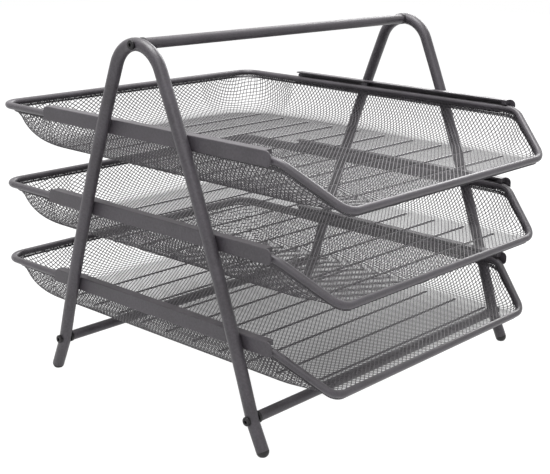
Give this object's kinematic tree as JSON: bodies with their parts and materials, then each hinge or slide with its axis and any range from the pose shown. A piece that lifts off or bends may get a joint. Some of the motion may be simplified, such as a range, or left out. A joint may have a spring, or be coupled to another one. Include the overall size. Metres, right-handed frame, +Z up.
{
  "type": "letter tray stack with drawers",
  "caption": "Desk stack of wire-mesh letter trays that slide out like drawers on channel rails between bent-tube side frames.",
  "frame": {"origin": "bottom centre of the stack's own box, on the ground", "axes": "+X to the right seen from the front, +Y to the back (the trays pull out towards -Y), +Z up"},
  "size_m": [0.3012, 0.3578, 0.2677],
  "materials": {
    "coated_tube": "satin powder coat, dark grey",
    "coated_bar": "satin powder coat, dark grey",
    "coated_rail": "satin powder coat, dark grey",
    "coated_wire": "satin powder coat, dark grey",
    "mesh_steel": "satin powder coat on mesh, dark grey",
    "dark_plastic": "matte black",
    "screw_steel": "dark plated",
    "insert_brass": "plain"
  },
  "bodies": {
    "frame": {"side_frame_left": "coated_tube", "side_frame_right": "coated_tube", "handle_bar": "coated_bar", "front_cross_bar": "coated_bar", "rear_cross_bar": "coated_bar", "frame_screws": "screw_steel", "threaded_inserts": "insert_brass", "saddle_washers": "dark_plastic", "foot_cap_front_left": "dark_plastic", "foot_cap_front_right": "dark_plastic", "foot_cap_rear_left": "dark_plastic", "foot_cap_rear_right": "dark_plastic", "rail_left_bottom": "coated_rail", "rail_left_middle": "coated_rail", "rail_left_top": "coated_rail", "rail_right_bottom": "coated_rail", "rail_right_middle": "coated_rail", "rail_right_top": "coated_rail"},
    "tray_bottom": {"tray_bottom_rim_wire": "coated_wire", "tray_bottom_stop_lugs": "coated_wire", "tray_bottom_hem": "mesh_steel", "tray_bottom_basket": "mesh_steel"},
    "tray_middle": {"tray_middle_rim_wire": "coated_wire", "tray_middle_stop_lugs": "coated_wire", "tray_middle_hem": "mesh_steel", "tray_middle_basket": "mesh_steel"},
    "tray_top": {"tray_top_rim_wire": "coated_wire", "tray_top_stop_lugs": "coated_wire", "tray_top_hem": "mesh_steel", "tray_top_basket": "mesh_steel"}
  },
  "joints": [
    {"name": "tray_bottom_slide", "type": "slide", "parent": "frame", "child": "tray_bottom", "axis": [0, -1, 0], "range_m": [0, 0.15]},
    {"name": "tray_middle_slide", "type": "slide", "parent": "frame", "child": "tray_middle", "axis": [0, -1, 0], "range_m": [-0.00495, 0.14505]},
    {"name": "tray_top_slide", "type": "slide", "parent": "frame", "child": "tray_top", "axis": [0, -1, 0], "range_m": [-0.0091, 0.1409]}
  ]
}
